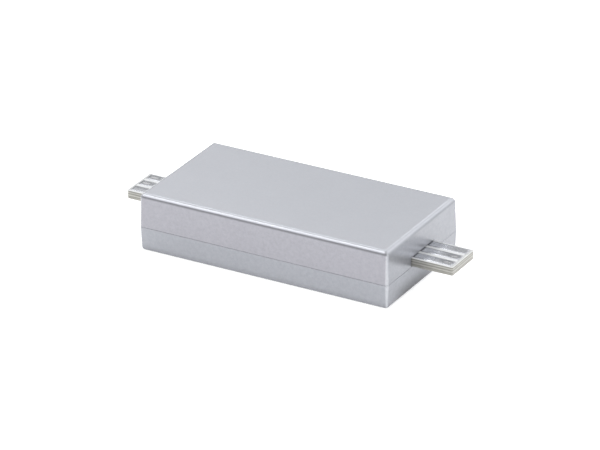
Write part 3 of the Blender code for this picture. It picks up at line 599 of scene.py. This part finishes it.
def shell(name, rings, material):
    bm = loft([rounded_ring(hx, hy, r, z, CORNER_STEPS) for hx, hy, r, z in rings])
    return finish_mesh(bm, name, [material])


up = outside(True, TOP_FILLET, STEPS)[::-1]
up += [
    (HALF_L - 0.60 * MM, HALF_W - 0.60 * MM, 0.30 * MM, RIM_UP),
    (HALF_L - 0.60 * MM, HALF_W - 0.60 * MM, 0.30 * MM, RIM_UP + 1.0 * MM),
    (HALF_L - WALL - 0.03 * MM, HALF_W - WALL - 0.03 * MM, 0.45 * MM, RIM_UP + 1.0 * MM),
]
up += inside_round(
    HALF_L - WALL - 0.03 * MM,
    HALF_W - WALL - 0.03 * MM,
    0.45 * MM,
    RIM_UP + 1.2 * MM,
    CASE_H - WALL,
    0.40 * MM,
    4,
)
upper = shell("upper_case", up, SILVER)

down = outside(False, BOTTOM_FILLET, STEPS)[::-1]
down += [
    (HALF_L - 0.70 * MM, HALF_W - 0.70 * MM, 0.50 * MM, RIM_DOWN),
    (HALF_L - 0.70 * MM, HALF_W - 0.70 * MM, 0.50 * MM, LIP_TOP - 0.08 * MM),
    (HALF_L - 0.78 * MM, HALF_W - 0.78 * MM, 0.45 * MM, LIP_TOP),
    (HALF_L - 1.09 * MM, HALF_W - 1.09 * MM, 0.30 * MM, LIP_TOP),
    (HALF_L - 1.15 * MM, HALF_W - 1.15 * MM, 0.25 * MM, LIP_TOP - 0.06 * MM),
    (HALF_L - 1.15 * MM, HALF_W - 1.15 * MM, 0.25 * MM, RIM_DOWN),
    (HALF_L - WALL, HALF_W - WALL, 0.40 * MM, RIM_DOWN),
]
down += inside_round(
    HALF_L - WALL - 0.05 * MM,
    HALF_W - WALL - 0.05 * MM,
    0.40 * MM,
    RIM_DOWN - 0.6 * MM,
    WALL,
    0.40 * MM,
    4,
)
lower = shell("lower_case", down, SILVER)

SLOT_HALF = TONGUE_Y + 0.25 * MM
SLOT_TOP = BOARD_Z1 + 0.06 * MM
for sx in (-1, 1):
    # Tongue slot, with small radii at its two upper corners, lofted along X.
    x0, x1 = sx * 21.4 * MM, sx * 27.0 * MM
    bm = loft(
        [
            [
                (x, y, z + (SLOT_TOP + RIM_UP - 1.0 * MM) / 2)
                for y, z, _ in rounded_ring(
                    SLOT_HALF, (SLOT_TOP - RIM_UP + 1.0 * MM) / 2, 0.12 * MM, 0.0, 4
                )
            ]
            for x in (x0, x1)
        ]
    )
    boolean(upper, helper(bm, "slot"), "DIFFERENCE")
    boolean(
        lower,
        helper_box(
            "lip_gap",
            min(sx * 22.2 * MM, sx * 23.6 * MM),
            max(sx * 22.2 * MM, sx * 23.6 * MM),
            -TONGUE_Y - 0.45 * MM,
            TONGUE_Y + 0.45 * MM,
            RIM_DOWN,
            RIM_DOWN + 3.0 * MM,
        ),
        "DIFFERENCE",
    )
    for sy in (-1, 1):
        x, y = sx * 20.2 * MM, sy * 8.8 * MM
        px, py = sx * 20.3 * MM, sy * 5.6 * MM
        wall_y = sy * (HALF_W - 0.75 * MM)
        boolean(
            lower,
            helper_round("boss", x, y, [(0.7 * MM, 2.2 * MM), (RIM_DOWN - 0.05 * MM, 2.2 * MM)]),
            "UNION",
        )
        boolean(
            upper,
            helper_round("boss", x, y, [(4.45 * MM, 1.7 * MM), (CASE_H - 0.7 * MM, 1.7 * MM)]),
            "UNION",
        )
        for target, z0, z1 in (
            (lower, 0.8 * MM, RIM_DOWN - 0.25 * MM),
            (upper, PARTING + 1.3 * MM, CASE_H - 0.8 * MM),
        ):
            boolean(
                target,
                helper_box(
                    "rib", x - 0.45 * MM, x + 0.45 * MM, min(y, wall_y), max(y, wall_y), z0, z1
                ),
                "UNION",
            )
        # Recess for the screw head, with a small lead-in, then its clearance hole.
        boolean(
            lower,
            helper_round(
                "recess",
                x,
                y,
                [
                    (-0.5 * MM, 1.86 * MM),
                    (0.0, 1.86 * MM),
                    (0.04 * MM, 1.78 * MM),
                    (0.12 * MM, 1.72 * MM),
                    (0.2 * MM, 1.70 * MM),
                    (1.70 * MM, 1.70 * MM),
                ],
                48,
            ),
            "DIFFERENCE",
        )
        boolean(
            lower,
            helper_round("hole", x, y, [(0.5 * MM, 0.95 * MM), (5.0 * MM, 0.95 * MM)], 24),
            "DIFFERENCE",
        )
        boolean(
            upper,
            helper_round("pilot", x, y, [(4.0 * MM, 0.88 * MM), (8.3 * MM, 0.88 * MM)], 24),
            "DIFFERENCE",
        )
        boolean(
            lower,
            helper_round(
                "post",
                px,
                py,
                [
                    (0.7 * MM, 1.2 * MM),
                    (BOARD_Z0 - 0.05 * MM, 1.2 * MM),
                    (BOARD_Z0 - 0.049 * MM, 0.6 * MM),
                    (BOARD_Z1 + 0.25 * MM, 0.6 * MM),
                    (BOARD_Z1 + 0.35 * MM, 0.5 * MM),
                ],
                24,
            ),
            "UNION",
        )
        boolean(
            upper,
            helper_round(
                "socket", px, py, [(BOARD_Z1 + 0.06 * MM, 1.2 * MM), (CASE_H - 0.7 * MM, 1.2 * MM)], 24
            ),
            "UNION",
        )
        boolean(
            upper,
            helper_round(
                "bore", px, py, [(BOARD_Z0 + 0.5 * MM, 0.72 * MM), (BOARD_Z1 + 0.8 * MM, 0.72 * MM)], 20
            ),
            "DIFFERENCE",
        )
for sy in (-1, 1):
    for x0, x1, top in ((-16.35, -15.75, 3.6), (11.75, 12.35, 4.0)):
        boolean(
            lower,
            helper_box(
                "end_rib",
                x0 * MM,
                x1 * MM,
                min(sy * 4.6, sy * 9.0) * MM,
                max(sy * 4.6, sy * 9.0) * MM,
                0.8 * MM,
                top * MM,
            ),
            "UNION",
        )
    for x in (-10.0, -1.0, 8.0):
        y0, y1 = sy * 9.75 * MM, sy * (HALF_W - 0.75 * MM)
        boolean(
            lower,
            helper_box(
                "side_rib",
                (x - 0.4) * MM,
                (x + 0.4) * MM,
                min(y0, y1),
                max(y0, y1),
                0.9 * MM,
                3.9 * MM,
            ),
            "UNION",
        )
for piece, node in ((upper, "upper_shell"), (lower, "lower_shell")):
    apply_all(piece)
    piece.data.materials.clear()
    piece.data.materials.append(SILVER)
    piece.data.shade_smooth()
    piece.data.set_sharp_from_angle(angle=math.radians(40))
    weighted(piece)
    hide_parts(node)
    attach(piece, "root")
drop_helpers()

# ---------------------------------------------------------------- boards and contacts


def corner_path(points, radii, steps):
    """Closed outline with rounded corners."""
    made = []
    count = len(points)
    for i, (x, y) in enumerate(points):
        r = radii[i]
        if r <= 0:
            made.append((x, y))
            continue
        a, b = Vector(points[i - 1]), Vector(points[(i + 1) % count])
        p = Vector((x, y))
        ua, ub = (a - p).normalized(), (b - p).normalized()
        half = ua.angle(ub) / 2
        centre = p + (ua + ub).normalized() * (r / math.sin(half))
        start, end = p + ua * (r / math.tan(half)) - centre, p + ub * (r / math.tan(half)) - centre
        turn = start.angle_signed(end)
        for k in range(steps + 1):
            c, s = math.cos(-turn * k / steps), math.sin(-turn * k / steps)
            made.append(
                (centre.x + start.x * c - start.y * s, centre.y + start.x * s + start.y * c)
            )
    return made


def plate(name, outline, z0, z1, edge, holes=(), steps=2):
    """A flat plate of this outline whose upper and lower edges are slightly rounded."""
    area = sum(
        outline[i - 1][0] * outline[i][1] - outline[i][0] * outline[i - 1][1]
        for i in range(len(outline))
    )
    if area < 0:
        outline = outline[::-1]
    count = len(outline)
    normals = []
    for i in range(count):
        before, after = Vector(outline[i - 1]), Vector(outline[(i + 1) % count])
        here = Vector(outline[i])
        d1, d2 = (here - before).normalized(), (after - here).normalized()
        n = Vector((d1.y + d2.y, -d1.x - d2.x))
        n.normalize()
        n /= max(0.35, n.dot(Vector((d1.y, -d1.x))))
        normals.append(n)

    def ring(inset, z):
        return [
            (p[0] - n.x * inset, p[1] - n.y * inset, z) for p, n in zip(outline, normals)
        ]

    rings = []
    for k in range(steps + 1):
        t = math.radians(90 * k / steps)
        rings.append(ring(edge * (1 - math.sin(t)), z0 + edge * (1 - math.cos(t))))
    for k in range(steps + 1):
        t = math.radians(90 * k / steps)
        rings.append(ring(edge * (1 - math.cos(t)), z1 - edge * (1 - math.sin(t))))
    bm = loft(rings)
    return bm


def add_board(name, node, sx):
    corners = [
        (16.20 * MM, -6.90 * MM),
        (22.60 * MM, -6.90 * MM),
        (22.60 * MM, -TONGUE_Y),
        (TIP_X, -TONGUE_Y),
    ]
    radii = [0.3 * MM, 0.3 * MM, 0.0, 0.30 * MM]
    outline = corner_path(
        corners + [(x, -y) for x, y in reversed(corners)], radii + radii[::-1], 8
    )
    bm = plate(name, outline, BOARD_Z0, BOARD_Z1, 0.045 * MM)
    bmesh.ops.recalc_face_normals(bm, faces=bm.faces)
    for f in bm.faces:
        f.material_index = 1 if abs(f.normal.z) < 0.8 else 0
    if sx < 0:
        bmesh.ops.rotate(bm, verts=bm.verts, cent=(0, 0, 0), matrix=Matrix.Rotation(math.pi, 3, "Z"))
    made = finish_mesh(bm, name, [MASK, EDGE])
    for sy in (-1, 1):
        boolean(
            made,
            helper_round(
                "post_hole",
                sx * 20.3 * MM,
                sy * 5.6 * MM,
                [(BOARD_Z0 - 0.5 * MM, 0.68 * MM), (BOARD_Z1 + 0.5 * MM, 0.68 * MM)],
                24,
            ),
            "DIFFERENCE",
        )
    for k in (-1, 0, 1):
        x0, x1 = sorted((sx * (PAD_X0 - 0.03 * MM), sx * (PAD_X1 + 0.03 * MM)))
        hx, hy = (x1 - x0) / 2, PAD_HALF + 0.03 * MM
        rings = []
        for grow, z in ((0.0, -0.12), (0.0, -0.03), (0.012, -0.01), (0.04, 0.0), (0.04, 0.5)):
            rings.append(
                [
                    ((x0 + x1) / 2 + x, k * PITCH + y, BOARD_Z1 + z * MM)
                    for x, y, _ in rounded_ring(
                        hx + grow * MM, hy + grow * MM, 0.10 * MM + grow * MM, 0.0, 4
                    )
                ]
            )
        boolean(made, helper(loft(rings), "pocket"), "DIFFERENCE")
    apply_all(made)
    made.data.set_sharp_from_angle(angle=math.radians(40))
    weighted(made)
    drop_helpers()
    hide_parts(node)
    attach(made, "root")
    return made


for name, node, sx in (
    ("left_tongue_board", "left_board", -1),
    ("right_tongue_board", "right_board", 1),
):
    add_board(name, node, sx)


def add_contact(name, node):
    """A levelled contact in its pocket: a shallow crown whose edges draw down, with rounded ends."""
    low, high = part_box(node)
    base, top = low.z, BOARD_Z1 + 0.012 * MM
    hx, hy = (high.x - low.x) / 2, (high.y - low.y) / 2
    cx, cy = (high.x + low.x) / 2, (high.y + low.y) / 2
    rings = []
    for inset, share in (
        (0.0, 0.0),
        (0.0, 0.66),
        (0.02, 0.78),
        (0.06, 0.86),
        (0.14, 0.93),
        (0.28, 0.975),
        (0.45, 0.995),
        (0.62, 1.0),
    ):
        i = inset * MM
        rings.append(
            [
                (cx + x, cy + y, base + (top - base) * share)
                for x, y, _ in rounded_ring(hx - i, hy - i, max(0.12 * MM - i * 0.12, 0.03 * MM), 0.0, 6)
            ]
        )
    made = finish_mesh(loft(rings), name, [TIN], 60.0)
    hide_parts(node)
    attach(made, "root")


for end in ("left", "right"):
    for role in ("negative", "signal", "positive"):
        add_contact(f"{end}_{role}_tin_contact", f"{end}_{role}_contact")

# ---------------------------------------------------------------- screws

SCREW_SIDES = 32


def add_screw(name, node):
    """Pan-head self-tapping screw: domed head with a cross recess, rolled thread and a point."""
    low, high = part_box(node)
    cx, cy = (low.x + high.x) / 2, (low.y + high.y) / 2
    head_low, seat = low.z, low.z + 1.0 * MM
    levels = [
        (head_low, 0.72 * MM),
        (head_low + 0.02 * MM, 0.98 * MM),
        (head_low + 0.08 * MM, 1.20 * MM),
        (head_low + 0.18 * MM, 1.36 * MM),
        (head_low + 0.34 * MM, 1.455 * MM),
        (head_low + 0.55 * MM, 1.495 * MM),
        (head_low + 0.80 * MM, 1.50 * MM),
        (seat - 0.03 * MM, 1.48 * MM),
        (seat, 1.44 * MM),
    ]
    rings = [
        [
            (cx + r * math.cos(2 * math.pi * i / SCREW_SIDES), cy + r * math.sin(2 * math.pi * i / SCREW_SIDES), z)
            for i in range(SCREW_SIDES)
        ]
        for z, r in levels
    ]
    pitch, rows = 0.70 * MM, 7
    z = seat
    end = high.z
    while z < end - 1e-7:
        ring = []
        for i in range(SCREW_SIDES):
            turn = i / SCREW_SIDES
            phase = ((z - seat) / pitch - turn) % 1.0
            ridge = max(0.0, 1.0 - abs(phase - 0.5) * 3.6)
            run_in = min(1.0, max(0.0, (z - seat - 0.15 * MM) / (0.3 * MM)))
            point = min(1.0, max(0.0, (end - z) / (1.1 * MM)))
            core = 0.56 * MM * (0.22 + 0.78 * point)
            r = core + 0.235 * MM * ridge * run_in * (0.35 + 0.65 * point)
            ring.append(
                (cx + r * math.cos(2 * math.pi * turn), cy + r * math.sin(2 * math.pi * turn), z)
            )
        rings.append(ring)
        z += pitch / rows
    rings.append(
        [
            (cx + 0.1 * MM * math.cos(2 * math.pi * i / SCREW_SIDES), cy + 0.1 * MM * math.sin(2 * math.pi * i / SCREW_SIDES), end)
            for i in range(SCREW_SIDES)
        ]
    )
    made = finish_mesh(loft(rings), name, [STEEL], 35.0)
    for hx, hy in ((0.85, 0.15), (0.15, 0.85)):
        bm = loft(
            [
                rounded_ring(hx * k * MM, hy * k2 * MM, 0.05 * MM, z, 3)
                for k, k2, z in (
                    (1.12, 1.12, head_low - 0.3 * MM),
                    (1.0, 1.0, head_low),
                    (0.72, 0.72, head_low + 0.58 * MM),
                )
            ]
        )
        bmesh.ops.translate(bm, verts=bm.verts, vec=(cx, cy, 0))
        boolean(made, helper(bm, "cross"), "DIFFERENCE")
    apply_all(made)
    made.data.materials.clear()
    made.data.materials.append(STEEL)
    drop_helpers()
    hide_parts(node)
    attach(made, "root")


for side in ("front", "back"):
    for end in ("left", "right"):
        add_screw(f"{side}_{end}_pan_screw", f"{side}_{end}_screw")

# ---------------------------------------------------------------- finishes of the pieces carried over from the CAD

finishes = {
    FILM: ("pouch_upper_film", "pouch_lower_film"),
    ROLL: ("electrode_roll",),
    ALU: ("positive_tab",),
    NICKEL: ("negative_tab",),
    SEALANT: ("positive_tab_sealant", "negative_tab_sealant"),
    TAPE: ("positive_tab_tape", "negative_tab_tape"),
    FLEX: ("flex_link",),
    MOULD: ("protection_ic", "dual_mosfet", "surge_suppressor"),
    CHIP_TAN: ("filter_capacitor", "bus_capacitor", "fuse"),
    CHIP_DARK: ("thermistor", "sense_resistor", "identity_resistor"),
    PAPER: ("front_cell_tape", "back_cell_tape"),
    FOAM: ("top_foam_pad",),
}
for finish, nodes in finishes.items():
    for node in nodes:
        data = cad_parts[node].data
        data.materials.clear()
        data.materials.append(finish)

# ---------------------------------------------------------------- floor, light and camera

floor_mesh = bpy.data.meshes.new("floor")
bm = bmesh.new()
bmesh.ops.create_grid(bm, x_segments=1, y_segments=1, size=3.0)
bm.to_mesh(floor_mesh)
bm.free()
floor = bpy.data.objects.new("floor", floor_mesh)
floor.location = (0, 0, -0.00002)
bpy.context.scene.collection.objects.link(floor)
paper = Nodes("floor_paper")
fleck = paper.noise(60.0, 2.0, 0.5)
paper.set(
    Base_Color=paper.mix(fleck, rgb(0.88, 0.88, 0.88), rgb(0.90, 0.90, 0.90)),
    Roughness=0.9,
)
paper.set(Emission_Color=rgb(1.0, 1.0, 1.0), Emission_Strength=0.512)
floor_mesh.materials.append(paper.material)


def softbox(name, azimuth, elevation, half_angle, radiance, distance=2.0):
    """A square panel that faces the object. Azimuth is counted from +X towards +Y."""
    a, e = math.radians(azimuth), math.radians(elevation)
    way = Vector((math.cos(a) * math.cos(e), math.sin(a) * math.cos(e), math.sin(e)))
    light = bpy.data.lights.new(name, "AREA")
    light.shape = "SQUARE"
    light.size = 2 * distance * math.tan(math.radians(half_angle))
    light.energy = math.pi * light.size**2 * radiance
    made = bpy.data.objects.new(name, light)
    made.location = way * distance
    made.rotation_euler = (-way).to_track_quat("-Z", "Y").to_euler()
    bpy.context.scene.collection.objects.link(made)


LIGHTS = (
    # azimuth, elevation, half angle (degrees), radiance
    (0, 15, 12.1, 1.39),
    (45, 15, 12.1, 1.34),
    (50, 22, 7, 1.04),
    (60, 27, 7, 1.99),
    (70, 33, 7, 2.37),
    (90, 15, 12.1, 2.36),
    (90, 40, 12.1, 0.51),
    (105, 32, 7, 3.23),
    (122, 42, 7, 3.48),
    (135, 40, 12.1, 1.93),
    (193, 60, 7, 3.07),
    (205, 66, 7, 1.37),
    (216, 65, 12.1, 1.5),
    (225, 40, 12.1, 3.52),
)
for azimuth, elevation, half_angle, radiance in LIGHTS:
    softbox(f"softbox_{azimuth}_{elevation}", azimuth, elevation, half_angle, radiance)

world = bpy.data.worlds.new("studio")
bpy.context.scene.world = world
world.use_nodes = True
world.node_tree.nodes["Background"].inputs[0].default_value = (1.0, 1.0, 1.0, 1.0)
world.node_tree.nodes["Background"].inputs[1].default_value = 0.942

# The camera was solved from the case's straight edges: direction, roll, distance and focal length.
AZIMUTH, ELEVATION, ROLL_ANGLE = math.radians(29.9208), math.radians(25.6588), math.radians(-0.5867)
UNIT = 0.48 * MM
back = Vector(
    (
        math.sin(AZIMUTH) * math.cos(ELEVATION),
        -math.cos(AZIMUTH) * math.cos(ELEVATION),
        math.sin(ELEVATION),
    )
)
right = (-back).cross(Vector((0, 0, 1))).normalized()
upward = right.cross(-back)
position = (back * 1636.7614 + right * 0.6563 + upward * 9.2117) * UNIT
turned_right = right * math.cos(ROLL_ANGLE) + upward * math.sin(ROLL_ANGLE)
turned_up = -right * math.sin(ROLL_ANGLE) + upward * math.cos(ROLL_ANGLE)
lens = bpy.data.cameras.new("camera")
lens.sensor_fit = "HORIZONTAL"
lens.sensor_width = 36.0
lens.lens = 4628.806 * 36.0 / 600.0
lens.clip_start, lens.clip_end = 0.01, 20.0
camera = bpy.data.objects.new("camera", lens)
camera.matrix_world = Matrix(
    (
        (turned_right.x, turned_up.x, back.x, position.x),
        (turned_right.y, turned_up.y, back.y, position.y),
        (turned_right.z, turned_up.z, back.z, position.z),
        (0, 0, 0, 1),
    )
)
bpy.context.scene.collection.objects.link(camera)
bpy.context.scene.camera = camera
bpy.context.scene.view_settings.view_transform = "Standard"
bpy.context.scene.view_settings.look = "None"
